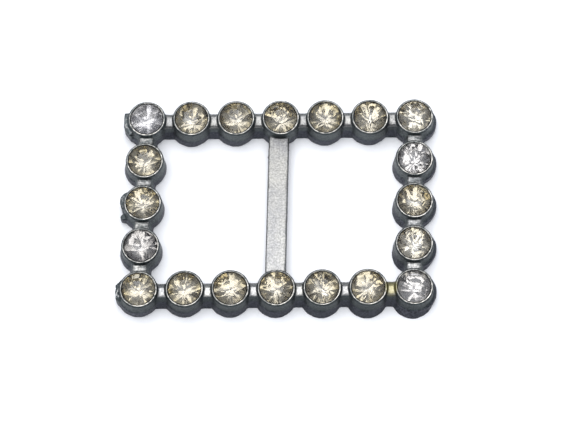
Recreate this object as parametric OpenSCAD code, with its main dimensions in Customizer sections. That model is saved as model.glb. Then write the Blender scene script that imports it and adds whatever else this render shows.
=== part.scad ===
// A slide buckle, cast in one piece in grey pot metal and set with cut glass stones.
// Round cups stand in a ring round a rectangle, short low rails join them, and a flat bar crosses
// the middle for the belt. Each cup holds a foil-backed stone on a conical seat.
// X runs along the long side and Z points out of the face. The back lies on z = 0, and the origin
// is the middle of the rectangle that the stones' centres make.

/* [Layout] */
// Stones along the top row and the bottom row
row_stones = 7; // [5:2:9]
// Stones down each side, corners included
side_stones = 5; // [4:1:7]
// Distance between the centres of two neighbouring stones
pitch = 6.6; // [6.5:0.1:7.4]
// Angle by which the casting came out of square
lean = 1.9; // [0:0.1:2.4]

/* [Cups] */
// Height of a cup's rim above the back
cup_h = 3.6; // [3.5:0.1:4.4]
// Outer radius of a cup at its rim
rim_r = 2.8; // [2.65:0.05:2.85]
// Outer radius of a cup at its base
base_r = 3.06; // [2.94:0.02:3.1]
// Height of the parting line of the mould
parting_h = 1.4; // [1:0.1:1.8]
// Width of the ledge along the parting line
ledge_w = 0.05; // [0.02:0.01:0.08]

/* [Stones] */
// Diameter of a stone at its girdle
stone_d = 4.7; // [4.5:0.05:4.7]
// Width of a stone's table across its flats
table_w = 2.5; // [2.2:0.1:2.8]
// Height of the crown, from the girdle to the table
crown_h = 0.65; // [0.5:0.05:0.7]
// Facets round the crown, and as many round the pavilion
facets = 8; // [8:1:12]
// Slope of the pavilion's facets
pavilion_slope = 42; // [38:1:44]
// Height of the table above the rim
proud = 0.55; // [0.3:0.05:0.6]
// Gap between a stone and its cup
gap = 0.07; // [0.06:0.01:0.08]
// Tilt of a stone in its glue
stone_tilt = 0.8; // [0:0.1:1]

/* [Rails and bar] */
// Height of a rail's crown above the back
rail_h = 3; // [2.6:0.1:3.1]
// Width of a rail at the shoulders of its crown
rail_top_w = 2.1; // [1.9:0.1:2.3]
// Width of a rail at its base
rail_base_w = 3.15; // [2.9:0.05:3.3]
// Width of the flat top of the centre bar
bar_w = 2.9; // [2.6:0.1:3.6]
// How far the bar stands off the middle, to the right
bar_shift = -0.2; // [-0.3:0.05:0.3]
// Height of the bar's top above the back
bar_top = 2.3; // [2:0.1:2.6]
// Thickness of the bar
bar_t = 1.3; // [1:0.1:1.6]

/* [Hidden] */
$fn = 64;

// The number of stones, and what the file calls each one, clockwise from the top left corner
stone_count = 2 * (row_stones + side_stones) - 4;
function stone_name(i) = str("stone_", i < 10 ? "0" : "", i);

// The column and the row of a stone, counted from the top left corner
function place(i) =
    i <= row_stones ? [i - 1, 0]
    : i < row_stones + side_stones ? [row_stones - 1, i - row_stones]
    : i < 2 * row_stones + side_stones - 1
        ? [2 * row_stones + side_stones - 2 - i, side_stones - 1]
    : [0, stone_count + 1 - i];

// The centre of a place in the leaning rectangle
function centre(p) =
    let (y = ((side_stones - 1) / 2 - p[1]) * pitch)
    [(p[0] - (row_stones - 1) / 2) * pitch + y * tan(lean), y];

// The rim's edge is half round. Its wall is as thick as what is left outside the pocket.
pocket_r = stone_d / 2 + gap;
lip_r = (rim_r - pocket_r) / 2;
LIP_STEPS = 6;

// The outer radius of a cup's wall at a height, and half a rail's width at a height
function wall_r(z) = base_r - (base_r - rim_r) * z / (cup_h - lip_r);
function rail_half(z) =
    rail_base_w / 2 - (rail_base_w - rail_top_w) / 2 * z / (rail_h - CROWN_RISE);

// The girdle is a thin band just inside the rim, so nearly all of the crown stands above it
GIRDLE_H = 0.08;
girdle_top = cup_h + proud - crown_h;
crown_slope = atan(crown_h / (stone_d / 2 - table_w / 2));
stone_depth = stone_d / 2 * tan(pavilion_slope);

// The seat is a cone with a small flat bottom. It stays clear of the ridges between the
// pavilion's facets, which start this much lower on the girdle than the facets' middles, and it
// starts below the rounded mouth.
SEAT_GAP = 0.1;
SEAT_FLAT_R = 0.15;
ridge_drop = stone_d / 2 * (1 - cos(180 / facets)) * tan(pavilion_slope);
seat_top = min(girdle_top - GIRDLE_H - ridge_drop - SEAT_GAP, cup_h - lip_r);
seat_bottom = seat_top - (pocket_r - SEAT_FLAT_R) * tan(pavilion_slope);

// Neighbouring stones were dropped in by hand, so each has its own turn and leans its own way
TURN_STEP = 137.5;
LEAN_STEP = 77;

// A rail's crown rises in the middle and is drawn with short chords
CROWN_RISE = 0.16;
CROWN_STEPS = 8;
// The bar's and the rails' ends stop inside the cups, this far from the cups' centres
BAR_END = 1.9;
RAIL_END = 1.5;
// The bar's edges are a little wider below than on top
BAR_DRAFT = 0.1;

// The lower half of the mould sat a little to the left and to the near side, and left a foot
// round each cup, which widens towards the near right corner, and one along the long rows' rails.
// It was also cut longer at the right.
FOOT_LEFT = 0.15;
FOOT_NEAR = 0.15;
FOOT_CORNER = 0.65;
RAIL_FOOT = 0.4;
RIGHT_STEP = 0.3;
// How high each trace of the casting stands on the left side
LUG_H = 3;
BULGE_H = 2.6;
STUB_H = 1.5;
STUB_R = 0.5;
RIDGE_H = 2.8;
// The side of a block that is large against a stone
BLOCK = 8;

// A cup without its pocket: a tapered wall with the ledge, and the rounded rim
module cup_body() {
    rotate_extrude()
        polygon(concat(
            [[0, 0], [base_r, 0],
             [wall_r(parting_h), parting_h],
             [wall_r(parting_h) - ledge_w, parting_h + ledge_w]],
            [for (k = [0 : LIP_STEPS / 2])
                [rim_r - lip_r + lip_r * cos(k * 180 / LIP_STEPS),
                 cup_h - lip_r + lip_r * sin(k * 180 / LIP_STEPS)]],
            [[0, cup_h]]
        ));
}

// The hole that takes a stone, with the inner half of the rounded rim at its mouth
module pocket() {
    rotate_extrude()
        polygon(concat(
            [[0, seat_bottom], [SEAT_FLAT_R, seat_bottom], [pocket_r, seat_top]],
            [for (k = [0 : LIP_STEPS / 2])
                [pocket_r + lip_r - lip_r * cos(k * 180 / LIP_STEPS),
                 cup_h - lip_r + lip_r * sin(k * 180 / LIP_STEPS)]],
            [[pocket_r + lip_r, cup_h + 1], [0, cup_h + 1]]
        ));
}

// One side of a rail's section, from the base up to the shoulder of the crown
function rail_side(s) = [
    [s * rail_half(0), 0],
    [s * rail_half(parting_h), parting_h],
    [s * (rail_half(parting_h) - ledge_w), parting_h + ledge_w],
    [s * rail_top_w / 2, rail_h - CROWN_RISE]
];
function reversed(list) = [for (k = [len(list) - 1 : -1 : 0]) list[k]];

// Draws a section out between the cups at two places, from inside one to inside the other
module drawn_out(from, to, end) {
    run = centre(to) - centre(from);
    translate(centre(from))
        rotate([0, 0, atan2(run[1], run[0])])
            translate([end, 0, 0])
                rotate([90, 0, 90])
                    linear_extrude(height = norm(run) - 2 * end)
                        children();
}

// A rail between two places, with a crowned top
module rail(from, to) {
    drawn_out(from, to, RAIL_END)
        polygon(concat(
            rail_side(-1),
            [for (k = [1 : CROWN_STEPS - 1])
                let (t = 2 * k / CROWN_STEPS - 1)
                [t * rail_top_w / 2, rail_h - CROWN_RISE * t * t]],
            reversed(rail_side(1))
        ));
}

// The flat bar between the middle cups of the two long rows
module centre_bar() {
    middle = (row_stones - 1) / 2;
    translate([bar_shift, 0, bar_top - bar_t])
        drawn_out([middle, side_stones - 1], [middle, 0], BAR_END)
            polygon([
                [-bar_w / 2 - BAR_DRAFT, 0], [bar_w / 2 + BAR_DRAFT, 0],
                [bar_w / 2, bar_t], [-bar_w / 2, bar_t]
            ]);
}

// How far a cup's foot stands off the cup, at a place
function foot_shift(p) =
    [-FOOT_LEFT, -FOOT_NEAR - FOOT_CORNER * p[0] / (row_stones - 1) * p[1] / (side_stones - 1)];

// The foot starts flush with the cup at the parting line and leans out down to the back
module foot(p) {
    shift = foot_shift(p);
    translate(centre(p) + shift)
        cylinder(h = parting_h, r1 = base_r, r2 = base_r - norm(shift));
}

// A rail of the long rows has its foot on the near side only
module rail_foot(from, to) {
    near = centre(to)[0] > centre(from)[0] ? -1 : 1;
    drawn_out(from, to, RAIL_END)
        polygon([
            [0, 0], [near * (rail_half(0) + RAIL_FOOT), 0],
            [near * rail_half(parting_h), parting_h], [0, parting_h]
        ]);
}

// What the caster left: a step down the right side where the mould's halves didn't meet, and on
// the left a squared lug at the top corner, a bulge and a gate stub at the middle cup, and a
// rough ridge at the bottom corner
module casting_marks() {
    middle_row = floor((side_stones - 1) / 2);
    for (row = [0 : side_stones - 1])
        translate(centre([row_stones - 1, row]) + [RIGHT_STEP, 0])
            cylinder(h = parting_h, r = base_r);
    translate(centre([0, 0]))
        linear_extrude(height = LUG_H)
            polygon([[-1.8, 1.4], [-3.38, 1.35], [-3.42, -1.1], [-2.5, -2.3], [-1.6, -1.9]]);
    translate(centre([0, middle_row])) {
        linear_extrude(height = BULGE_H)
            polygon([[-1.6, 2.3], [-2.8, 1.95], [-3.35, 1.3], [-3.4, 0.4], [-3.1, -0.6], [-2, -1]]);
        translate([-2.9, -1.45, 0]) cylinder(h = STUB_H, r = STUB_R, $fn = 24);
    }
    translate(centre([0, side_stones - 1]))
        linear_extrude(height = RIDGE_H)
            polygon([
                [-1.8, 2], [-2.6, 1.8], [-3, 1.3], [-3.4, 0.9], [-3.25, 0.4], [-3.44, -0.1],
                [-3.26, -0.6], [-3.36, -1.1], [-2.95, -1.6], [-1.8, -1.6]
            ]);
}

// The one casting: cups and rails with their feet, the bar and the casting marks, with a pocket
// for every stone
module casting() {
    color("dimgray")
        difference() {
            union() {
                for (i = [1 : stone_count]) translate(centre(place(i))) cup_body();
                for (i = [1 : stone_count]) foot(place(i));
                for (i = [1 : stone_count]) rail(place(i), place(i % stone_count + 1));
                for (i = [1 : stone_count])
                    if (place(i)[1] == place(i % stone_count + 1)[1])
                        rail_foot(place(i), place(i % stone_count + 1));
                centre_bar();
                casting_marks();
            }
            for (i = [1 : stone_count]) translate(centre(place(i))) pocket();
        }
}

// A block with one face on a facet's plane, which meets the girdle at height z
module facet_block(turn, normal_tilt, z) {
    rotate([0, 0, turn])
        translate([stone_d / 2, 0, z])
            rotate([0, normal_tilt, 0])
                translate([-BLOCK / 2, -BLOCK / 2, 0])
                    cube(BLOCK);
}

// A stone as it is ground: a round blank, then each flat facet, with the girdle's top at z = 0
module cut_stone() {
    difference() {
        translate([0, 0, -stone_depth - GIRDLE_H - 1])
            cylinder(h = stone_depth + GIRDLE_H + 1 + crown_h, d = stone_d);
        for (k = [0 : facets - 1]) {
            turn = k * 360 / facets;
            facet_block(turn, crown_slope, 0);
            facet_block(turn + 180 / facets, 180 - pavilion_slope, -GIRDLE_H);
        }
    }
}

// A stone in its own place, turn and tilt
module stone(i) {
    color("wheat")
        translate([centre(place(i))[0], centre(place(i))[1], girdle_top])
            rotate([0, 0, i * LEAN_STEP])
                rotate([stone_tilt, 0, 0])
                    rotate([0, 0, i * TURN_STEP])
                        cut_stone();
}

casting();
for (i = [1 : stone_count]) stone(i);
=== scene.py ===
# %% [markdown]
# A rhinestone slide buckle
# The real piece is one small casting in grey pot metal, the soft zinc and lead alloy of cheap
# jewellery, with a ring of round cups. A cut glass stone with foil on its back is glued into each
# cup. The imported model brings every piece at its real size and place, so this lesson adds the
# camera, the light, the skin that a worn casting has, and the look of old foiled glass.

# %% Load the frame and keep its box
import math
import random
import bmesh
import bpy
import numpy as np
from mathutils import Matrix, Vector


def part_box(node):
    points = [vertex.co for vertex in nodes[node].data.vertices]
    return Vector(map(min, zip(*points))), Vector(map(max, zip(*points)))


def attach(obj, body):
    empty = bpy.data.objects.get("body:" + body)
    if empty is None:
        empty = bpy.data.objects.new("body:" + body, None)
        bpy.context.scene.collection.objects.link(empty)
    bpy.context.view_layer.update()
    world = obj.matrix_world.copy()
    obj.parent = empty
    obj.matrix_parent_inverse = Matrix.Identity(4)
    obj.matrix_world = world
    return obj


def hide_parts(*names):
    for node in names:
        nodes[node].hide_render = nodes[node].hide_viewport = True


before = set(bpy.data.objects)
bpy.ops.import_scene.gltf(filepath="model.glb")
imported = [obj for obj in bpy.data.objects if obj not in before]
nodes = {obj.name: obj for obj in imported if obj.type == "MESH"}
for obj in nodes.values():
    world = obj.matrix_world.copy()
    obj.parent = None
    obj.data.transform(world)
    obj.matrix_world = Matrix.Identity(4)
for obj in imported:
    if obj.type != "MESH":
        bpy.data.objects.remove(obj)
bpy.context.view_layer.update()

MM = 0.001

# %% [markdown]
# Each stone's box gives the place of its cup. The stones are numbered clockwise from the top left
# corner, and it is six steps from cup to cup across the ring and four down. The cups stand on a
# square grid that leans a little to one side, so the distance between two neighbours and the lean
# are all that later cells need to find the nearest cup from any point.

# %% Where the cups are
STEPS_ACROSS = 6
STEPS_DOWN = 4
stone_names = sorted(name for name in nodes if name.startswith("stone_"))
cups = [(Vector(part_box(name)[0]) + Vector(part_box(name)[1])) / 2 / MM for name in stone_names]
TOP_LEFT, TOP_RIGHT = cups[0], cups[STEPS_ACROSS]
BOTTOM_LEFT = cups[2 * STEPS_ACROSS + STEPS_DOWN]
PITCH = (TOP_RIGHT.x - TOP_LEFT.x) / STEPS_ACROSS
LEAN = (TOP_LEFT.x - BOTTOM_LEFT.x) / (TOP_LEFT.y - BOTTOM_LEFT.y)
RIM_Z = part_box("casting")[1][2] / MM
print("cups:", len(cups), "pitch:", round(PITCH, 3), "lean:", round(LEAN, 4), "rim:", round(RIM_Z, 3))

# %% [markdown]
# The photograph was taken from the front edge, about 70 degrees above the table, with a long
# lens. The camera looks at a point on the table from one distance and elevation, and a small
# roll gives the picture's slope. A long lens far away keeps the rows nearly parallel.

# %% Camera
EYE_DISTANCE = 303.0 * MM
EYE_ELEVATION = math.radians(69.97)
EYE_ROLL = math.radians(-0.57)
AIM = Vector((0.922, -0.524, 0)) * MM
FOCAL_MM = 130.1
SENSOR_MM = 36.0
NEAREST = 1 * MM
FURTHEST = 5000 * MM


def photo_camera():
    look = Vector((0, math.cos(EYE_ELEVATION), -math.sin(EYE_ELEVATION)))
    level = Vector((1, 0, 0))
    upward = level.cross(look)
    right = math.cos(EYE_ROLL) * level + math.sin(EYE_ROLL) * upward
    up = math.cos(EYE_ROLL) * upward - math.sin(EYE_ROLL) * level
    data = bpy.data.cameras.new("photo_camera")
    data.lens, data.sensor_width = FOCAL_MM, SENSOR_MM
    data.clip_start, data.clip_end = NEAREST, FURTHEST
    camera = bpy.data.objects.new("photo_camera", data)
    turn = Matrix((right, up, -look)).transposed().to_4x4()
    camera.matrix_world = Matrix.Translation(AIM - look * EYE_DISTANCE) @ turn
    bpy.context.scene.collection.objects.link(camera)
    bpy.context.scene.camera = camera
    return camera


camera = photo_camera()
print("camera at, mm:", [round(c / MM, 1) for c in camera.matrix_world.translation])

# %% [markdown]
# Materials, light and shapes are all made of nodes. One helper adds a node, sets its properties,
# fills its inputs, each from a plain value or from another node's output, and returns one of its
# outputs. The second turns a colour as a painter reads it, in sRGB hex, into the linear values
# that shaders need. The third starts a material with no nodes in it.

# %% Helpers for nodes and colours
def add(tree, kind, inputs=(), out=0, **settings):
    node = tree.nodes.new(kind)
    for name, value in settings.items():
        setattr(node, name, value)
    for key, value in inputs.items() if isinstance(inputs, dict) else enumerate(inputs):
        if isinstance(value, bpy.types.NodeSocket):
            tree.links.new(value, node.inputs[key])
        else:
            node.inputs[key].default_value = value
    return node.outputs[out] if node.outputs else node


def colour(hex_code):
    channels = [int(hex_code[i:i + 2], 16) / 255 for i in (1, 3, 5)]
    linear = [c / 12.92 if c <= 0.04045 else ((c + 0.055) / 1.055) ** 2.4 for c in channels]
    return (*linear, 1.0)


def new_material(name):
    material = bpy.data.materials.new(name)
    material.use_nodes = True
    material.node_tree.nodes.clear()
    return material


print("white reads as", colour("#ffffff"))

# %% [markdown]
# The buckle lies on a sheet of matt paper, pale enough to come out plain white round the soft
# shadows. It is much wider than the picture, so that its edge never shows.

# %% Floor
FLOOR_SIZE = 600 * MM
PAPER_COLOUR = "#f6f7f9"
PAPER_ROUGHNESS = 0.9


def floor_sheet():
    paper = new_material("pale_paper_matt")
    tree = paper.node_tree
    shader = add(tree, "ShaderNodeBsdfPrincipled", {
        "Base Color": colour(PAPER_COLOUR), "Roughness": PAPER_ROUGHNESS})
    add(tree, "ShaderNodeOutputMaterial", {"Surface": shader})
    mesh = bpy.data.meshes.new("floor")
    half = FLOOR_SIZE / 2
    corners = [(-half, -half, 0), (half, -half, 0), (half, half, 0), (-half, half, 0)]
    mesh.from_pydata(corners, [], [(0, 1, 2, 3)])
    sheet = bpy.data.objects.new("floor", mesh)
    bpy.context.scene.collection.objects.link(sheet)
    mesh.materials.append(paper)


floor_sheet()
print("floor, mm:", FLOOR_SIZE / MM)

# %% [markdown]
# The light in the photograph is soft and comes from above, so no shadow has a hard edge. Shiny
# metal and glass show what surrounds them, so the studio is a dome of light and not a lamp. It is
# brightest round an axis overhead, bluish and dim down to the horizon, and darker on the near
# side, where the photographer stands. The camera itself shades a patch of the dome, and foiled
# stones send that patch straight back to it.

# %% Light
SOFT = {"interpolation_type": "SMOOTHSTEP"}
LIGHT_AXIS = Vector((-0.14, 0.2, 1.0)).normalized()
LOBE_EDGE = math.cos(math.radians(42))
LOBE_CORE = math.cos(math.radians(20))
LOBE_COLOUR = "#ffffff"
LOBE_STRENGTH = 2.75
ROOM_COLOUR = "#f2f6ff"
ROOM_HEIGHTS = (0.0, 0.85)
ROOM_STRENGTH = (0.3, 0.8)
NEAR_TO_FAR = (-0.5, 0.9)
NEAR_TO_FAR_STRENGTH = (0.8, 1.6)
CAMERA_SEEN = camera.matrix_world.translation.normalized()
SHADE_EDGE = math.cos(math.radians(16))
SHADE_CORE = math.cos(math.radians(8))
SHADE_LEFT = 0.7


def studio_dome():
    world = bpy.data.worlds.new("studio_dome")
    bpy.context.scene.world = world
    world.use_nodes = True
    tree = world.node_tree
    tree.nodes.clear()
    seen = add(tree, "ShaderNodeVectorMath", [add(tree, "ShaderNodeTexCoord")], operation="NORMALIZE")
    part = add(tree, "ShaderNodeSeparateXYZ", [seen]).node.outputs
    lit = add(tree, "ShaderNodeVectorMath", [seen, LIGHT_AXIS], out="Value", operation="DOT_PRODUCT")
    lobe = add(tree, "ShaderNodeMapRange", [lit, LOBE_EDGE, LOBE_CORE, 0.0, LOBE_STRENGTH], **SOFT)
    sides = add(tree, "ShaderNodeMapRange", [part["Z"], *ROOM_HEIGHTS, *ROOM_STRENGTH], **SOFT)
    depth = add(tree, "ShaderNodeMapRange", [part["Y"], *NEAR_TO_FAR, *NEAR_TO_FAR_STRENGTH], **SOFT)
    around = add(tree, "ShaderNodeMath", [sides, depth], operation="MULTIPLY")
    behind = add(tree, "ShaderNodeVectorMath", [seen, CAMERA_SEEN], out="Value", operation="DOT_PRODUCT")
    shade = add(tree, "ShaderNodeMapRange", [behind, SHADE_EDGE, SHADE_CORE, 1.0, SHADE_LEFT], **SOFT)
    lobe = add(tree, "ShaderNodeMath", [lobe, shade], operation="MULTIPLY")
    around = add(tree, "ShaderNodeMath", [around, shade], operation="MULTIPLY")
    lamp = add(tree, "ShaderNodeBackground", {"Color": colour(LOBE_COLOUR), "Strength": lobe})
    room = add(tree, "ShaderNodeBackground", {"Color": colour(ROOM_COLOUR), "Strength": around})
    add(tree, "ShaderNodeOutputWorld", {"Surface": add(tree, "ShaderNodeAddShader", [lamp, room])})


studio_dome()
bpy.context.scene.view_settings.view_transform = "Standard"
print("brightest towards", [round(c, 2) for c in LIGHT_AXIS])

# %% [markdown]
# Where a point lies on the casting is told from its nearest cup. Snapping the point to the leaning
# grid gives the middle of that cup, and its distance from there says if it is on the pocket's
# side, on the rim or outside. The grid goes on through the belt windows, where no cup is, so a
# point that snaps to a middle inside the ring counts as far away. Rails of the long rows lie to
# the left and right of a cup. The same nodes work in a material and a shape tree.

# %% Find the nearest cup with nodes
HALF_PITCH = Vector((PITCH / 2, PITCH / 2, 0))
GRID_STEP = Vector((PITCH, PITCH, 1000))
RING_INSIDE = Vector(((STEPS_ACROSS - 1) / 2 * PITCH, (STEPS_DOWN - 1) / 2 * PITCH, 1))
NO_CUP_MM = 10.0
ROW_RAIL_MM = (2.3, 2.6)


def nearest_cup(tree, place):
    axis = add(tree, "ShaderNodeSeparateXYZ", [place]).node.outputs
    upright_x = add(tree, "ShaderNodeMath", [axis["Y"], -LEAN, axis["X"]], operation="MULTIPLY_ADD")
    flat = add(tree, "ShaderNodeCombineXYZ", [upright_x, axis["Y"]])
    moved = add(tree, "ShaderNodeVectorMath", [flat, HALF_PITCH], operation="ADD")
    snapped = add(tree, "ShaderNodeVectorMath", [moved, GRID_STEP], operation="SNAP")
    middle = add(tree, "ShaderNodeSeparateXYZ", [snapped]).node.outputs
    middle_x = add(tree, "ShaderNodeMath", [middle["Y"], LEAN, middle["X"]], operation="MULTIPLY_ADD")
    centre = add(tree, "ShaderNodeCombineXYZ", [middle_x, middle["Y"]])
    here = add(tree, "ShaderNodeCombineXYZ", [axis["X"], axis["Y"]])
    offset = add(tree, "ShaderNodeVectorMath", [here, centre], operation="SUBTRACT")
    across = add(tree, "ShaderNodeVectorMath", [offset], out="Value", operation="LENGTH")
    share = add(tree, "ShaderNodeVectorMath", [centre, RING_INSIDE], operation="DIVIDE")
    share = add(tree, "ShaderNodeVectorMath", [share], operation="ABSOLUTE")
    share = add(tree, "ShaderNodeSeparateXYZ", [share]).node.outputs
    share = add(tree, "ShaderNodeMath", [share["X"], share["Y"]], operation="MAXIMUM")
    no_cup = add(tree, "ShaderNodeMath", [share, 1.0], operation="LESS_THAN")
    across = add(tree, "ShaderNodeMath", [no_cup, NO_CUP_MM, across], operation="MULTIPLY_ADD")
    return offset, across


def row_rail(tree, offset):
    side = add(tree, "ShaderNodeVectorMath", [offset], operation="ABSOLUTE")
    side = add(tree, "ShaderNodeSeparateXYZ", [side], out="X")
    return add(tree, "ShaderNodeMapRange", [side, *ROW_RAIL_MM], **SOFT)


print("cups sit on a grid of", round(PITCH, 2), "mm")

# %% [markdown]
# Belts, fingers and cloths rub pot metal bright where it stands out. Each rubbed place gets a
# mask, from 0 for tarnish to 1 for bright metal. The first is for flat tops, which face up, and is
# partly wear and partly painted highlight, as tops face the light above. The bar is rubbed all
# over. The far strip of the long rails, which lies lower, is painted with shade. The rails of the
# two side columns are rubbed in streaks, and the lugs at the left in specks. A Mix node has
# several sockets of one name, so they are picked by number, and the numbers get names.

# %% Mask of the rubbed tops, partly painted highlight and shade
SHARE, FROM_NUMBER, TO_NUMBER = 0, 2, 3
STREAKS_PER_MM = 1.1
STREAK_STRETCH = (0.6, 2.2, 1.0)
STREAK_EDGES = (0.36, 0.6)
STREAK_WEAR = (0.3, 1.0)
SPECKS_PER_MM = 2.6
SPECK_EDGES = (0.52, 0.62)
SPECK_WEAR = (0.0, 0.9)
STRIP_SPAN_MM = (-10.0, 10.0)
STRIP_STARTS_MM = (0.3, 0.5)
STRIP_EDGE_MM = (-0.06, 0.06)
# The far strip of the long rails is darkened with painted shade.
STRIP_PAINTED_SHADE = 0.5
# Facing up: partly wear, partly painted highlight on tops lit from above.
FACES_UP = (0.35, 0.8)
TOPS_Z_MM = (1.7, 2.0)
OFF_CUP_MM = (2.75, 2.9)
COLUMN_X_MM = (16.0, 17.0)
LUG_X_MM = (21.7, 21.4)


def place_in_mm(tree):
    place = add(tree, "ShaderNodeTexCoord", out="Object")
    return add(tree, "ShaderNodeVectorMath", {0: place, "Scale": 1 / MM}, operation="SCALE")


def beyond_strip_edge(tree, place, offset):
    far = add(tree, "ShaderNodeSeparateXYZ", [place], out="Y")
    starts = add(tree, "ShaderNodeMapRange", [far, *STRIP_SPAN_MM, *STRIP_STARTS_MM])
    aside = add(tree, "ShaderNodeSeparateXYZ", [offset], out="Y")
    return add(tree, "ShaderNodeMath", [aside, starts], operation="SUBTRACT")


# Painted shade on the far strip of the long rails.
def painted_shade_strip(tree, place, offset, along):
    beyond = beyond_strip_edge(tree, place, offset)
    strip = add(tree, "ShaderNodeMapRange", [beyond, *STRIP_EDGE_MM, 0.0, STRIP_PAINTED_SHADE], **SOFT)
    strip = add(tree, "ShaderNodeMath", [strip, along], operation="MULTIPLY")
    return add(tree, "ShaderNodeMath", [1.0, strip], operation="SUBTRACT")


def rubbed_and_lit_tops(tree, place, offset, across):
    axis = add(tree, "ShaderNodeSeparateXYZ", [place]).node.outputs
    facing = add(tree, "ShaderNodeNewGeometry", out="Normal")
    facing = add(tree, "ShaderNodeSeparateXYZ", [facing], out="Z")
    from_middle = add(tree, "ShaderNodeMath", [axis["X"]], operation="ABSOLUTE")
    along = row_rail(tree, offset)
    off_row = add(tree, "ShaderNodeMath", [1.0, along], operation="SUBTRACT")
    column = add(tree, "ShaderNodeMapRange", [from_middle, *COLUMN_X_MM])
    column = add(tree, "ShaderNodeMath", [column, off_row], operation="MULTIPLY")
    drawn = add(tree, "ShaderNodeMapping", {"Vector": place, "Scale": STREAK_STRETCH})
    streaks = add(tree, "ShaderNodeTexNoise", {"Vector": drawn, "Scale": STREAKS_PER_MM, "Detail": 3.0})
    streaks = add(tree, "ShaderNodeMapRange", [streaks, *STREAK_EDGES, *STREAK_WEAR], **SOFT)
    specks = add(tree, "ShaderNodeTexNoise", {"Vector": place, "Scale": SPECKS_PER_MM, "Detail": 2.0})
    specks = add(tree, "ShaderNodeMapRange", [specks, *SPECK_EDGES, *SPECK_WEAR], **SOFT)
    # Tops facing up come out lighter: partly wear, partly painted highlight.
    tops = add(tree, "ShaderNodeMapRange", [facing, *FACES_UP], **SOFT)
    for part in (
        add(tree, "ShaderNodeMapRange", [axis["Z"], *TOPS_Z_MM], **SOFT),
        add(tree, "ShaderNodeMapRange", [across, *OFF_CUP_MM], **SOFT),
        add(tree, "ShaderNodeMapRange", [from_middle, *LUG_X_MM, specks, 1.0]),
        add(tree, "ShaderNodeMix", {SHARE: column, FROM_NUMBER: 1.0, TO_NUMBER: streaks}),
        painted_shade_strip(tree, place, offset, along),
    ):
        tops = add(tree, "ShaderNodeMath", [tops, part], operation="MULTIPLY")
    return tops, column


print("streaks every", round(1 / STREAKS_PER_MM, 1), "mm")

# %% [markdown]
# The rims' lips are the highest metal, so they are worn to a thin bright ring, which is partly
# painted highlight. It is nicked, and painted brighter towards the lower right as a highlight.
# The mouth inside the lip gets a painted sheen.

# %% Masks of the lips and the mouths, worn and painted with highlight
LIP_R_MM = 2.5
LIP_EDGE_MM = (0.16, 0.08)
MOUTH_R_MM = (2.46, 2.43)
# Strength of the painted sheen inside the mouth.
MOUTH_PAINTED_SHEEN = 0.7
LIP_HEIGHTS = (RIM_Z - 0.4, RIM_Z - 0.2)
MOUTH_HEIGHTS = (RIM_Z - 0.5, RIM_Z - 0.2)
PATCHES_PER_MM = 1.6
PATCH_EDGES = (0.38, 0.6)
PATCH_WEAR = (0.4, 1.0)
# Painted highlight: lips come out brighter towards the lower right.
HIGHLIGHT_SIDE = Vector((0.45, -0.89, 0))
HIGHLIGHT_SPAN_MM = (-1.8, 1.6)
HIGHLIGHT_STRENGTH = (0.6, 1.0)


def rubbed_and_lit_lips(tree, place, offset, across):
    height = add(tree, "ShaderNodeSeparateXYZ", [place], out="Z")
    off_lip = add(tree, "ShaderNodeMath", [across, LIP_R_MM], operation="SUBTRACT")
    off_lip = add(tree, "ShaderNodeMath", [off_lip], operation="ABSOLUTE")
    patches = add(tree, "ShaderNodeTexNoise", {
        "Vector": place, "Scale": PATCHES_PER_MM, "Detail": 4.0, "Roughness": 0.6})
    # Painted highlight towards the lower right of each lip.
    towards_highlight = add(tree, "ShaderNodeVectorMath", [offset, HIGHLIGHT_SIDE], out="Value", operation="DOT_PRODUCT")
    lip = add(tree, "ShaderNodeMapRange", [off_lip, *LIP_EDGE_MM], **SOFT)
    for part in (
        add(tree, "ShaderNodeMapRange", [height, *LIP_HEIGHTS], **SOFT),
        add(tree, "ShaderNodeMapRange", [patches, *PATCH_EDGES, *PATCH_WEAR], **SOFT),
        add(tree, "ShaderNodeMapRange", [towards_highlight, *HIGHLIGHT_SPAN_MM, *HIGHLIGHT_STRENGTH], **SOFT),
    ):
        lip = add(tree, "ShaderNodeMath", [lip, part], operation="MULTIPLY")
    # Painted sheen on the upper inside of the mouth.
    mouth = add(tree, "ShaderNodeMapRange", [across, *MOUTH_R_MM, 0.0, MOUTH_PAINTED_SHEEN], **SOFT)
    upper = add(tree, "ShaderNodeMapRange", [height, *MOUTH_HEIGHTS])
    mouth = add(tree, "ShaderNodeMath", [mouth, upper], operation="MULTIPLY")
    return lip, mouth


print("lips shine in a ring of", 2 * LIP_R_MM, "mm across")

# %% [markdown]
# Pot metal tarnishes to a dull grey, a little green where the upper half of the mould shaped it.
# Below the parting line the walls are painted a purple-grey as bluish shade near the floor. Slow
# stains break it up, and the walls are painted darker on the near side of the buckle as shade. A
# Mix node has separate sockets for colours, which are picked by number too.

# %% Colour of tarnish and painted shade
# Painted shade: bluish purple-grey on the walls below the parting line, near the floor.
BELOW_PARTING_SHADED = "#54565e"
# Painted shade: the near walls are darker than the far ones.
ABOVE_PARTING_NEAR_SHADED = "#4e5556"
ABOVE_PARTING_FAR = "#5c6263"
STAIN = "#303234"
PARTING_MM = 1.4
PARTING_EDGE_MM = (PARTING_MM - 0.1, PARTING_MM + 0.15)
STAINS_PER_MM = 0.5
STAIN_STRENGTH = 0.45
WALL_SPAN_MM = (-12.0, 12.0)
# Painted shade, darker towards the near side.
WALL_SHADE_NEAR_TO_FAR = (0.84, 1.04)
FROM_COLOUR, TO_COLOUR = 6, 7
BLEND = {"data_type": "RGBA", "out": 2}


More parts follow.
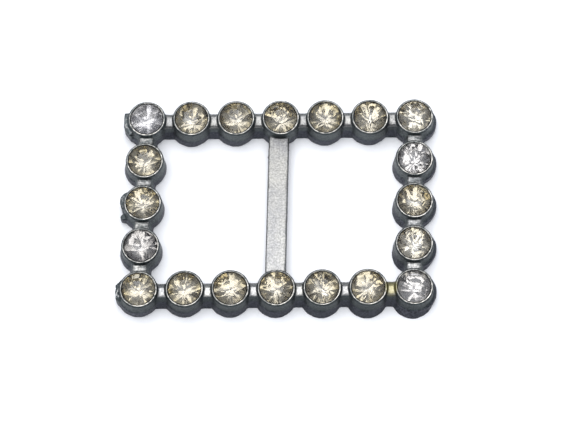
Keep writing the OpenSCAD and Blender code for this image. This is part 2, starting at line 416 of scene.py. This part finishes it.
def tarnish_and_shade(tree, place):
    axis = add(tree, "ShaderNodeSeparateXYZ", [place]).node.outputs
    above = add(tree, "ShaderNodeMapRange", [axis["Z"], *PARTING_EDGE_MM], **SOFT)
    far = add(tree, "ShaderNodeMapRange", [axis["Y"], *WALL_SPAN_MM])
    stains = add(tree, "ShaderNodeTexNoise", {"Vector": place, "Scale": STAINS_PER_MM, "Detail": 3.0})
    stains = add(tree, "ShaderNodeMath", [stains, STAIN_STRENGTH], operation="MULTIPLY")
    upper = add(tree, "ShaderNodeMix", {
        SHARE: far, FROM_COLOUR: colour(ABOVE_PARTING_NEAR_SHADED), TO_COLOUR: colour(ABOVE_PARTING_FAR),
    }, **BLEND)
    walls = add(tree, "ShaderNodeMix", {
        SHARE: above, FROM_COLOUR: colour(BELOW_PARTING_SHADED), TO_COLOUR: upper}, **BLEND)
    walls = add(tree, "ShaderNodeMix", {
        SHARE: stains, FROM_COLOUR: walls, TO_COLOUR: colour(STAIN)}, **BLEND)
    # Painted shade: darker towards the near side.
    near_side_shade = add(tree, "ShaderNodeMapRange", [far, 0.0, 1.0, *WALL_SHADE_NEAR_TO_FAR])
    return add(tree, "ShaderNodeVectorMath", {0: walls, "Scale": near_side_shade}, operation="SCALE")


print("the mould parts at", PARTING_MM, "mm")

# %% [markdown]
# Rubbed metal goes the other way: the near end of the bar gets a painted sheen and the tops of
# the long rails a painted highlight, so they are the brightest. It is cloudy, because no cloth
# rubs evenly. Fine speckle runs over all of the casting
# and is strongest on the side columns. Old glue has run out between two cups at the lower right
# and has gone yellow.

# %% Colours of rubbed metal, painted sheen, speckle and glue
RUBBED_LITTLE = "#7b7b7c"
RUBBED_MUCH = "#8f8e8a"
# Lip colour: worn metal with a painted highlight.
LIP_WEAR_AND_HIGHLIGHT = "#d2cec6"
YELLOWED_GLUE = "#8f8648"
NOISE_SPAN = (0.35, 0.65)
CLOUDS_PER_MM = 0.22
# Painted sheen, brighter towards the near end of the bar.
BAR_SPAN_MM = (10.0, -10.0)
BAR_PAINTED_SHEEN = (0.87, 1.27)
# Painted highlight on the tops of the long rails.
RAIL_PAINTED_HIGHLIGHT = (1.0, 1.3)
SPECKLE_PER_MM = 3.5
SPECKLE_DARK = (0.76, 0.6)
SPECKLE_LIGHT = (1.18, 1.5)
GLUE_AT = Vector((2.5 * PITCH - 2 * PITCH * LEAN, -2 * PITCH, 3.0))
GLUE_EDGE_MM = (1.5, 0.7)
GLUE_STRENGTH = 0.6


def rubbed_metal_and_sheen(tree, place, offset, lip):
    clouds = add(tree, "ShaderNodeTexNoise", {
        "Vector": place, "Scale": CLOUDS_PER_MM, "Detail": 5.0, "Roughness": 0.65})
    clouds = add(tree, "ShaderNodeMapRange", [clouds, *NOISE_SPAN])
    flat = add(tree, "ShaderNodeMix", {
        SHARE: clouds, FROM_COLOUR: colour(RUBBED_LITTLE), TO_COLOUR: colour(RUBBED_MUCH)}, **BLEND)
    near = add(tree, "ShaderNodeSeparateXYZ", [place], out="Y")
    # Painted sheen and highlight on rubbed metal.
    near = add(tree, "ShaderNodeMapRange", [near, *BAR_SPAN_MM, *BAR_PAINTED_SHEEN])
    rails = add(tree, "ShaderNodeMapRange", [row_rail(tree, offset), 0.0, 1.0, *RAIL_PAINTED_HIGHLIGHT])
    painted_shine = add(tree, "ShaderNodeMath", [near, rails], operation="MULTIPLY")
    flat = add(tree, "ShaderNodeVectorMath", {0: flat, "Scale": painted_shine}, operation="SCALE")
    return add(tree, "ShaderNodeMix", {
        SHARE: lip, FROM_COLOUR: flat, TO_COLOUR: colour(LIP_WEAR_AND_HIGHLIGHT)}, **BLEND)


def speckled(tree, place, base, column):
    speckle = add(tree, "ShaderNodeTexNoise", {"Vector": place, "Scale": SPECKLE_PER_MM, "Detail": 2.0})
    dark = add(tree, "ShaderNodeMapRange", [column, 0.0, 1.0, *SPECKLE_DARK])
    light = add(tree, "ShaderNodeMapRange", [column, 0.0, 1.0, *SPECKLE_LIGHT])
    speckle = add(tree, "ShaderNodeMapRange", [speckle, *NOISE_SPAN, dark, light])
    return add(tree, "ShaderNodeVectorMath", {0: base, "Scale": speckle}, operation="SCALE")


def glued(tree, place, base):
    glue = add(tree, "ShaderNodeVectorMath", [place, GLUE_AT], out="Value", operation="DISTANCE")
    glue = add(tree, "ShaderNodeMapRange", [glue, *GLUE_EDGE_MM, 0.0, GLUE_STRENGTH], **SOFT)
    return add(tree, "ShaderNodeMix", {
        SHARE: glue, FROM_COLOUR: base, TO_COLOUR: colour(YELLOWED_GLUE)}, **BLEND)


print("glue has run out at, mm:", [round(c, 1) for c in GLUE_AT])

# %% [markdown]
# The masks and colours meet in one metal shader. Rubbed metal is smoother than tarnish. The
# mould's sand leaves a grain that is finer than the casting's mesh, so it is a bump of about a
# third of a millimetre across, which is as fine as the render shows.

# %% Rubbed and tarnished pot metal
GRAIN_PER_MM = 3.2
GRAIN_DEPTH_MM = 0.07
TARNISH_TO_RUBBED = (0.5, 0.36)


def pot_metal():
    material = new_material("pot_metal_rubbed_and_painted_light")
    tree = material.node_tree
    place = place_in_mm(tree)
    offset, across = nearest_cup(tree, place)
    # The rubbed mask is partly painted highlight on tops, lips and mouths.
    rubbed_and_lit, column = rubbed_and_lit_tops(tree, place, offset, across)
    lip, mouth = rubbed_and_lit_lips(tree, place, offset, across)
    for part in (lip, mouth):
        rubbed_and_lit = add(tree, "ShaderNodeMath", [rubbed_and_lit, part], operation="MAXIMUM")
    bright = rubbed_metal_and_sheen(tree, place, offset, lip)
    # Painted shade in the tarnish and painted highlight in the rubbed colours meet here.
    base = add(tree, "ShaderNodeMix", {
        SHARE: rubbed_and_lit, FROM_COLOUR: tarnish_and_shade(tree, place), TO_COLOUR: bright}, **BLEND)
    base = glued(tree, place, speckled(tree, place, base, column))
    rough = add(tree, "ShaderNodeMapRange", [rubbed_and_lit, 0.0, 1.0, *TARNISH_TO_RUBBED])
    grain = add(tree, "ShaderNodeTexNoise", {
        "Vector": place, "Scale": GRAIN_PER_MM, "Detail": 4.0, "Roughness": 0.65})
    bump = add(tree, "ShaderNodeBump", {
        "Height": grain, "Strength": 1.0, "Distance": GRAIN_DEPTH_MM * MM})
    shader = add(tree, "ShaderNodeBsdfPrincipled", {
        "Base Color": base, "Metallic": 1.0, "Roughness": rough, "Normal": bump})
    add(tree, "ShaderNodeOutputMaterial", {"Surface": shader})
    return material


metal = pot_metal()
print(metal.name, "has", len(metal.node_tree.nodes), "nodes")

# %% [markdown]
# The casting is one piece, so no joint in it is crisp: where a rail meets a cup the metal fills
# the corner, lips are a little wavy, walls carry small lumps where the mould was chipped, and flat
# faces are as grainy as the mould was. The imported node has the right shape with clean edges, so
# the piece starts as a copy of it. The copy is loose triangles, which are joined first. It is in
# millimetres until it is poured, so that the sizes of its forms read plainly.

# %% Copy a node and join its loose triangles
JOIN_MM = 0.001


def joined_copy(node_name, name):
    loose = bmesh.new()
    loose.from_mesh(nodes[node_name].data)
    loose.transform(Matrix.Scale(1 / MM, 4))
    bmesh.ops.remove_doubles(loose, verts=loose.verts, dist=JOIN_MM)
    open_edges = sum(not edge.is_manifold for edge in loose.edges)
    mesh = bpy.data.meshes.new(name)
    loose.to_mesh(mesh)
    loose.free()
    piece = bpy.data.objects.new(name, mesh)
    bpy.context.scene.collection.objects.link(piece)
    return piece, open_edges


cast_body, open_edges = joined_copy("casting", "cast_body")
print("casting:", len(cast_body.data.polygons), "triangles, open edges:", open_edges)

# %% [markdown]
# Both shape trees take their sizes as named inputs of the modifier. A modifier's input is set by
# its socket's identifier, before the piece is first worked out.

# %% Start a tree of Geometry Nodes and give it to a piece
SOCKET_KINDS = {
    float: "NodeSocketFloat",
    int: "NodeSocketInt",
    bpy.types.Material: "NodeSocketMaterial",
}


def shape_tree(name, sizes):
    tree = bpy.data.node_groups.new(name, "GeometryNodeTree")
    tree.interface.new_socket(name="Geometry", in_out="INPUT", socket_type="NodeSocketGeometry")
    for label, value in sizes.items():
        tree.interface.new_socket(name=label, in_out="INPUT", socket_type=SOCKET_KINDS[type(value)])
    tree.interface.new_socket(name="Geometry", in_out="OUTPUT", socket_type="NodeSocketGeometry")
    return tree, add(tree, "NodeGroupInput").node.outputs


def finish_tree(tree, geometry, material):
    real = add(tree, "GeometryNodeRealizeInstances", [geometry])
    dressed = add(tree, "GeometryNodeSetMaterial", {"Geometry": real, "Material": material})
    add(tree, "NodeGroupOutput", [dressed])


def grow(piece, tree, sizes):
    modifier = piece.modifiers.new(tree.name, "NODES")
    modifier.node_group = tree
    for item in tree.interface.items_tree:
        if item.in_out == "INPUT" and item.name in sizes:
            modifier[item.identifier] = sizes[item.name]


print("inputs can be", [kind.__name__ for kind in SOCKET_KINDS])

# %% [markdown]
# A chipped mould leaves lumps on the casting. Points are scattered on the walls, away from the
# lips, and each gets a small ball of its own size. Half of each ball is buried in the wall, and the
# remesh that comes later melts the rest into it. The Random Value node has several sockets of one
# name, as a Mix node does, so they are picked by number.

# %% Scatter lumps over the walls
LUMP_SIZES = {"Lump radius": 0.16, "Lumps per square mm": 0.10, "Seed": 11, "Metal": metal}
LUMP_SHARES = (0.35, 1.0)
LUMPS_END_MM = RIM_Z - 0.5
WALL_NORMAL_Z = (-0.05, 0.1)
RANDOM_LEAST, RANDOM_MOST, RANDOM_NUMBER = 2, 3, 1


def on_walls(tree):
    least, most = WALL_NORMAL_Z
    facing = add(tree, "ShaderNodeSeparateXYZ", [add(tree, "GeometryNodeInputNormal")], out="Z")
    height = add(tree, "ShaderNodeSeparateXYZ", [add(tree, "GeometryNodeInputPosition")], out="Z")
    upright = add(tree, "FunctionNodeCompare", [facing, most], data_type="FLOAT", operation="LESS_THAN")
    outward = add(tree, "FunctionNodeCompare", [facing, least], data_type="FLOAT", operation="GREATER_THAN")
    low = add(tree, "FunctionNodeCompare", [height, LUMPS_END_MM], data_type="FLOAT", operation="LESS_THAN")
    wall = add(tree, "FunctionNodeBooleanMath", [upright, outward], operation="AND")
    return add(tree, "FunctionNodeBooleanMath", [wall, low], operation="AND")


def lump_tree():
    tree, given = shape_tree("casting_lumps", LUMP_SIZES)
    spots = add(tree, "GeometryNodeDistributePointsOnFaces", {
        "Mesh": given["Geometry"], "Selection": on_walls(tree),
        "Density": given["Lumps per square mm"], "Seed": given["Seed"]}, out="Points")
    least, most = LUMP_SHARES
    share = add(tree, "FunctionNodeRandomValue", {
        RANDOM_LEAST: least, RANDOM_MOST: most, "Seed": given["Seed"],
    }, out=RANDOM_NUMBER, data_type="FLOAT")
    size = add(tree, "ShaderNodeMath", [share, given["Lump radius"]], operation="MULTIPLY")
    ball = add(tree, "GeometryNodeMeshIcoSphere", {"Radius": 1.0, "Subdivisions": 2})
    lumps = add(tree, "GeometryNodeInstanceOnPoints", {
        "Points": spots, "Instance": ball, "Scale": size})
    joined = add(tree, "GeometryNodeJoinGeometry", [given["Geometry"]])
    tree.links.new(lumps, joined.node.inputs[0])
    finish_tree(tree, joined, given["Metal"])
    return tree


grow(cast_body, lump_tree(), LUMP_SIZES)
print("lumps up to", LUMP_SIZES["Lump radius"], "mm in radius")

# %% [markdown]
# The second shape tree works on an even skin. Its sizes are given here. Wear is its simplest
# part, and moves points by their place and facing alone: the rims' outer edges are worn to a thin
# bevel, the long rails slope down on their far side, and a bead stands out just under the near
# edge of the top row's rails, where the mould's own edge had broken away.

# %% Wear on the rims and rails
SKIN_SIZES = {
    "Fillet steps": 24, "Waver": 0.035, "Grain": 0.024,
    "Rim bevel": 0.1, "Rail slope": 0.35, "Bead": 0.16, "Metal": metal,
}
RIM_R_MM = 2.8
BEVEL_STARTS_MM = LIP_R_MM + 0.08
BEVEL_HEIGHTS = (RIM_Z - 0.45, RIM_Z - 0.05)
RAIL_STARTS_MM = (RIM_R_MM, RIM_R_MM + 0.1)
RAIL_TOP_MM = (2.2, 2.9)
BEAD_Z_MM = 2.55
BEAD_EDGE_MM = (0.17, 0.03)
FACES_NEAR = (-0.4, -0.7)


def rim_bevel(tree, given, height, across):
    outer = add(tree, "ShaderNodeMapRange", [across, BEVEL_STARTS_MM, RIM_R_MM])
    near_top = add(tree, "ShaderNodeMapRange", [height, *BEVEL_HEIGHTS], **SOFT)
    bevel = add(tree, "ShaderNodeMath", [outer, near_top], operation="MULTIPLY")
    return add(tree, "ShaderNodeMath", [bevel, given["Rim bevel"]], operation="MULTIPLY")


def rail_slope(tree, given, position, height, offset, rail):
    beyond = beyond_strip_edge(tree, position, offset)
    slope = add(tree, "ShaderNodeMath", [beyond, 0.0], operation="MAXIMUM")
    on_top = add(tree, "ShaderNodeMapRange", [height, *RAIL_TOP_MM], **SOFT)
    for part in (rail, on_top, given["Rail slope"]):
        slope = add(tree, "ShaderNodeMath", [slope, part], operation="MULTIPLY")
    return slope


def rail_bead(tree, given, axis, rail):
    level = add(tree, "ShaderNodeMath", [axis["Z"], BEAD_Z_MM], operation="SUBTRACT")
    level = add(tree, "ShaderNodeMath", [level], operation="ABSOLUTE")
    bead = add(tree, "ShaderNodeMapRange", [level, *BEAD_EDGE_MM], **SOFT)
    facing = add(tree, "ShaderNodeSeparateXYZ", [add(tree, "GeometryNodeInputNormal")], out="Y")
    near_side = add(tree, "ShaderNodeMapRange", [facing, *FACES_NEAR], **SOFT)
    top_row = add(tree, "ShaderNodeMath", [axis["Y"], 0.0], operation="GREATER_THAN")
    for part in (near_side, rail, top_row, given["Bead"]):
        bead = add(tree, "ShaderNodeMath", [bead, part], operation="MULTIPLY")
    return bead


def worn_edges(tree, given):
    position = add(tree, "GeometryNodeInputPosition")
    axis = add(tree, "ShaderNodeSeparateXYZ", [position]).node.outputs
    offset, across = nearest_cup(tree, position)
    rail = add(tree, "ShaderNodeMapRange", [across, *RAIL_STARTS_MM], **SOFT)
    rail = add(tree, "ShaderNodeMath", [rail, row_rail(tree, offset)], operation="MULTIPLY")
    bevel = rim_bevel(tree, given, axis["Z"], across)
    slope = rail_slope(tree, given, position, axis["Z"], offset, rail)
    drop = add(tree, "ShaderNodeMath", [bevel, slope], operation="ADD")
    drop = add(tree, "ShaderNodeMath", [drop, -1.0], operation="MULTIPLY")
    bead = rail_bead(tree, given, axis, rail)
    nearer = add(tree, "ShaderNodeMath", [bead, -1.0], operation="MULTIPLY")
    return add(tree, "ShaderNodeCombineXYZ", {"Y": nearer, "Z": drop})


print("the rims' bevel is", SKIN_SIZES["Rim bevel"], "mm deep")

# %% [markdown]
# A voxel remesh turns the body and its lumps into one even skin. The tree averages each of the
# skin's points with its neighbours, which rounds every edge, many times over in the corners
# between rails and cups, where the mould's own corners were round, and not at all on the lips and
# in the pockets, which have to stay true for the stones. Then noise lifts and sinks the skin: a
# slow one for wavy walls and a fine one for the grain of the mould. The wear comes last.

# %% Round and grain the skin
VOXEL_MM = 0.075
LIGHT_ROUNDING = 0.12
CORNER = Vector((2.85, 1.4, 0))
CORNER_EDGE_MM = (0.6, 0.15)
OUTSIDE_MM = (LIP_R_MM, 2.75)
TRUE_LIP_HEIGHTS = (RIM_Z - 0.25, RIM_Z - 0.45)
WAVES_PER_MM = 0.9
SAND_PER_MM = 4.5
NOISE_MIDDLE = 0.5
FLAT_FACING = (0.5, 0.85)
FLAT_WAVER = (1.0, 0.2)


def corner_share(tree, offset):
    size = add(tree, "ShaderNodeVectorMath", [offset], operation="ABSOLUTE")
    axis = add(tree, "ShaderNodeSeparateXYZ", [size]).node.outputs
    along = add(tree, "ShaderNodeMath", [axis["X"], axis["Y"]], operation="MAXIMUM")
    aside = add(tree, "ShaderNodeMath", [axis["X"], axis["Y"]], operation="MINIMUM")
    folded = add(tree, "ShaderNodeCombineXYZ", [along, aside])
    away = add(tree, "ShaderNodeVectorMath", [folded, CORNER], out="Value", operation="DISTANCE")
    return add(tree, "ShaderNodeMapRange", [away, *CORNER_EDGE_MM, LIGHT_ROUNDING, 1.0], **SOFT)


def rounded_place(tree, given, position, offset, outside):
    height = add(tree, "ShaderNodeSeparateXYZ", [position], out="Z")
    below_lip = add(tree, "ShaderNodeMapRange", [height, *TRUE_LIP_HEIGHTS], **SOFT)
    free = add(tree, "ShaderNodeMath", [outside, below_lip], operation="MULTIPLY")
    share = add(tree, "ShaderNodeMath", [free, corner_share(tree, offset)], operation="MULTIPLY")
    blurred = add(tree, "GeometryNodeBlurAttribute", {
        "Iterations": given["Fillet steps"], "Weight": share}, data_type="FLOAT_VECTOR").node
    tree.links.new(position, next(s for s in blurred.inputs if s.type == "VECTOR" and s.enabled))
    return next(s for s in blurred.outputs if s.enabled)


def mould_marks(tree, given, across, outside):
    wave = add(tree, "ShaderNodeTexNoise", {"Scale": WAVES_PER_MM, "Detail": 2.0})
    sand = add(tree, "ShaderNodeTexNoise", {"Scale": SAND_PER_MM, "Detail": 3.0, "Roughness": 0.6})
    normal = add(tree, "GeometryNodeInputNormal")
    facing = add(tree, "ShaderNodeSeparateXYZ", [normal], out="Z")
    calm = add(tree, "ShaderNodeMapRange", [facing, *FLAT_FACING, *FLAT_WAVER], **SOFT)
    by_cup = add(tree, "ShaderNodeMath", [across, NO_CUP_MM], operation="LESS_THAN")
    swing = add(tree, "ShaderNodeMath", [wave, NOISE_MIDDLE], operation="SUBTRACT")
    for part in (given["Waver"], by_cup, calm):
        swing = add(tree, "ShaderNodeMath", [swing, part], operation="MULTIPLY")
    rough = add(tree, "ShaderNodeMath", [sand, NOISE_MIDDLE], operation="SUBTRACT")
    lift = add(tree, "ShaderNodeMath", [rough, given["Grain"], swing], operation="MULTIPLY_ADD")
    lift = add(tree, "ShaderNodeMath", [lift, outside], operation="MULTIPLY")
    return add(tree, "ShaderNodeVectorMath", {0: normal, "Scale": lift}, operation="SCALE")


def skin_tree():
    tree, given = shape_tree("as_cast_skin", SKIN_SIZES)
    position = add(tree, "GeometryNodeInputPosition")
    offset, across = nearest_cup(tree, position)
    outside = add(tree, "ShaderNodeMapRange", [across, *OUTSIDE_MM], **SOFT)
    rounded = rounded_place(tree, given, position, offset, outside)
    filled = add(tree, "GeometryNodeSetPosition", {"Geometry": given["Geometry"], "Position": rounded})
    marks = mould_marks(tree, given, across, outside)
    grained = add(tree, "GeometryNodeSetPosition", {"Geometry": filled, "Offset": marks})
    worn = add(tree, "GeometryNodeSetPosition", {"Geometry": grained, "Offset": worn_edges(tree, given)})
    finish_tree(tree, worn, given["Metal"])
    return tree


remesh = cast_body.modifiers.new("melt", "REMESH")
remesh.mode, remesh.voxel_size, remesh.use_smooth_shade = "VOXEL", VOXEL_MM, True
grow(cast_body, skin_tree(), SKIN_SIZES)
print("voxels of", VOXEL_MM, "mm")

# %% [markdown]
# The skin has over a million triangles, more than its shape needs. Decimate thins the flat
# stretches and keeps the edges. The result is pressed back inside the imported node's box, because
# noise must not make the buckle bigger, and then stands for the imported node.

# %% Pour the casting
MOST_TRIANGLES = 180000


def evaluated(body):
    return body.evaluated_get(bpy.context.evaluated_depsgraph_get())


def poured(body, name):
    triangles = sum(len(face.vertices) - 2 for face in evaluated(body).data.polygons)
    thin = body.modifiers.new("thin", "DECIMATE")
    thin.ratio = min(1.0, MOST_TRIANGLES / triangles)
    mesh = bpy.data.meshes.new_from_object(evaluated(body))
    mesh.transform(Matrix.Scale(MM, 4))
    points = np.empty(len(mesh.vertices) * 3, dtype=np.float32)
    mesh.vertices.foreach_get("co", points)
    inside = np.clip(points.reshape(-1, 3), *np.array(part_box("casting"), dtype=np.float32))
    mesh.vertices.foreach_set("co", inside.ravel())
    mesh.polygons.foreach_set("use_smooth", [True] * len(mesh.polygons))
    bpy.data.objects.remove(body)
    piece = bpy.data.objects.new(name, mesh)
    bpy.context.scene.collection.objects.link(piece)
    print(name, "thinned from", triangles, "triangles to", len(mesh.polygons), "faces")
    return piece


casting = poured(cast_body, "buckle_casting")
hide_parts("casting")
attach(casting, "root")

# %% [markdown]
# Cheap stones of this kind are pressed and ground glass with a bright foil on the back. Each is
# ground by hand against a lap, so its facets are never quite regular: one is a little steeper or
# turned, and its neighbour is cut back in turn. The piece starts as a joined copy of the packed
# stone, and every facet is ground again with a small error of its own, always into the stone and
# never outside it. The back gets twelve facets, which break the light into finer wedges. A seed
# gives a stone the same errors each time. Each stone was ground with a few dozen seeds in turn,
# and keeps the try whose bright and dark wedges lie about where they do in the photograph.

# %% Grind a stone again by hand
STONE_R_MM = 2.35
GIRDLE_TOP_MM = 3.5
GIRDLE_FOOT_MM = 3.42
CROWN_FACETS = 8
CROWN_SLOPES_DEG = (25.0, 28.0)
PAVILION_FACETS = 12
PAVILION_SLOPES_DEG = (40.3, 42.0)
TURN_ERROR_DEG = 3.5
CUT_TOLERANCE_MM = 1e-5
FLAT_ANGLE_DEG = 0.2
CROWN_STARTS_MM = GIRDLE_TOP_MM - 0.01
KEPT_TRIES = (9, 22, 20, 3, 2, 19, 1, 13, 3, 1, 21, 6, 3, 19, 3, 8, 5, 2, 13, 6)


def grind(stone, point, normal):
    everything = stone.verts[:] + stone.edges[:] + stone.faces[:]
    cut = bmesh.ops.bisect_plane(
        stone, geom=everything, dist=CUT_TOLERANCE_MM, plane_co=point, plane_no=normal, clear_outer=True)
    rim = [item for item in cut["geom_cut"] if isinstance(item, bmesh.types.BMEdge)]
    if rim:
        bmesh.ops.edgenet_fill(stone, edges=rim)


def grind_side(stone, middle, errors, start, side):
    facets, slopes, height = {
        1: (CROWN_FACETS, CROWN_SLOPES_DEG, GIRDLE_TOP_MM),
        -1: (PAVILION_FACETS, PAVILION_SLOPES_DEG, GIRDLE_FOOT_MM),
    }[side]
    for k in range(facets):
        turn = start + (k + 0.5) * 360 / facets + errors.uniform(-TURN_ERROR_DEG, TURN_ERROR_DEG)
        turn = math.radians(turn)
        slope = math.radians(errors.uniform(*slopes))
        outward = Vector((math.cos(turn), math.sin(turn), 0))
        point = Vector((middle.x, middle.y, height)) + outward * STONE_R_MM
        grind(stone, point, outward * math.sin(slope) + Vector((0, 0, side * math.cos(slope))))


def ground_stone(index, name):
    piece, open_edges = joined_copy(name, name.replace("stone", "cut_stone"))
    errors = random.Random(100 * KEPT_TRIES[index] + index)
    stone = bmesh.new()
    stone.from_mesh(piece.data)
    start = errors.uniform(0, 360)
    for side in (1, -1):
        grind_side(stone, cups[index], errors, start, side)
    bmesh.ops.dissolve_limit(
        stone, angle_limit=math.radians(FLAT_ANGLE_DEG), verts=stone.verts, edges=stone.edges)
    bmesh.ops.recalc_face_normals(stone, faces=stone.faces)
    for face in stone.faces:
        face.material_index = int(face.calc_center_median().z < CROWN_STARTS_MM)
    stone.transform(Matrix.Scale(MM, 4))
    stone.to_mesh(piece.data)
    stone.free()
    return piece, open_edges


print("crown facets:", CROWN_FACETS, "back facets:", PAVILION_FACETS)

# %% [markdown]
# Light goes in through the crown, bounces between the foiled facets below and comes out again in
# wedges. Ray tracing does all that by itself once the crown is clear glass and the back is a
# mirror. Wear has dulled the crown's polish and left scratches. The foil has aged to gold, most of
# all at the edge, where air got in, and the glue has pressed soft dents in it.

# %% Crown glass and foil
GLASS_IOR = 1.52
CROWN_ROUGHNESS = 0.03
SCRATCH_TURN = (0, 0, 0.6)
SCRATCH_STRETCH = (1.0, 0.22, 1.0)
FOIL_ROUGHNESS = 0.08
AGED_R_MM = (0.7, 2.2)
AGED_SPREAD_PER_MM = 0.8
AGED_LEAST = 0.15
DENTS_PER_MM = 0.7
DENT_MM = 0.07


def crown_glass(name, tint, scratches_per_mm, scratch_mm):
    material = new_material(name)
    tree = material.node_tree
    drawn = add(tree, "ShaderNodeMapping", {
        "Vector": place_in_mm(tree), "Rotation": SCRATCH_TURN, "Scale": SCRATCH_STRETCH})
    scratch = add(tree, "ShaderNodeTexNoise", {
        "Vector": drawn, "Scale": scratches_per_mm, "Detail": 3.0, "Distortion": 1.2})
    bump = add(tree, "ShaderNodeBump", {
        "Height": scratch, "Strength": 1.0, "Distance": scratch_mm * MM})
    shader = add(tree, "ShaderNodeBsdfPrincipled", {
        "Base Color": colour(tint), "Roughness": CROWN_ROUGHNESS, "IOR": GLASS_IOR,
        "Transmission Weight": 1.0, "Normal": bump})
    add(tree, "ShaderNodeOutputMaterial", {"Surface": shader})
    return material


def back_foil(name, fresh, aged):
    material = new_material(name)
    tree = material.node_tree
    place = place_in_mm(tree)
    offset, across = nearest_cup(tree, place)
    edge = add(tree, "ShaderNodeMapRange", [across, *AGED_R_MM], **SOFT)
    spread = add(tree, "ShaderNodeTexNoise", {
        "Vector": place, "Scale": AGED_SPREAD_PER_MM, "Detail": 3.0})
    ageing = add(tree, "ShaderNodeMath", [edge, spread, AGED_LEAST], operation="MULTIPLY_ADD")
    tint = add(tree, "ShaderNodeMix", {
        SHARE: ageing, FROM_COLOUR: colour(fresh), TO_COLOUR: colour(aged)}, **BLEND)
    dents = add(tree, "ShaderNodeTexNoise", {"Vector": place, "Scale": DENTS_PER_MM, "Detail": 1.0})
    bump = add(tree, "ShaderNodeBump", {"Height": dents, "Strength": 1.0, "Distance": DENT_MM * MM})
    shader = add(tree, "ShaderNodeBsdfPrincipled", {
        "Base Color": tint, "Roughness": FOIL_ROUGHNESS, "Metallic": 1.0, "Normal": bump})
    add(tree, "ShaderNodeOutputMaterial", {"Surface": shader})
    return material


glass = crown_glass("worn_crown_glass", tint="#fffdf8", scratches_per_mm=2.0, scratch_mm=0.01)
scratched = crown_glass("scratched_crown_glass", tint="#ffffff", scratches_per_mm=4.5, scratch_mm=0.05)
golden = back_foil("gold_aged_back_foil", fresh="#c3c1bd", aged="#cbc3a9")
pale = back_foil("pale_aged_back_foil", fresh="#cdccc9", aged="#cfc9b9")
bright = back_foil("bright_back_foil", fresh="#cecdce", aged="#c1c0bf")
dulled = back_foil("dulled_back_foil", fresh="#c5c4c4", aged="#a6a4a3")
print("foils:", [foil.name for foil in (golden, pale, bright, dulled)])

# %% [markdown]
# Most stones have aged to champagne. Four are clear, as if they had replaced lost ones, and two of
# the others are paler than the rest. A stone's first material is its crown glass and its second is
# its foil. A path of light needs many bounces to find its way out of a stone.

# %% Set the stones
MOST_BOUNCES = 24
MOST_MIRROR_BOUNCES = 16
MOST_GLASS_BOUNCES = 16
USUAL_STONE = ("champagne_glass", glass, golden)
ODD_STONES = {
    "stone_01": ("clear_glass", scratched, bright),
    "stone_07": ("champagne_glass", glass, pale),
    "stone_08": ("clear_glass", glass, bright),
    "stone_10": ("champagne_glass", glass, pale),
    "stone_11": ("clear_glass", glass, bright),
    "stone_18": ("clear_glass", glass, dulled),
}
for index, name in enumerate(stone_names):
    slot, crown, back = ODD_STONES.get(name, USUAL_STONE)
    piece, open_edges = ground_stone(index, name)
    piece.data.materials.append(crown)
    piece.data.materials.append(back)
    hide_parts(name)
    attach(piece, "root")
    print(piece.name, len(piece.data.polygons), "faces, open edges before:", open_edges)
bpy.context.scene.cycles.max_bounces = MOST_BOUNCES
bpy.context.scene.cycles.glossy_bounces = MOST_MIRROR_BOUNCES
bpy.context.scene.cycles.transmission_bounces = MOST_GLASS_BOUNCES
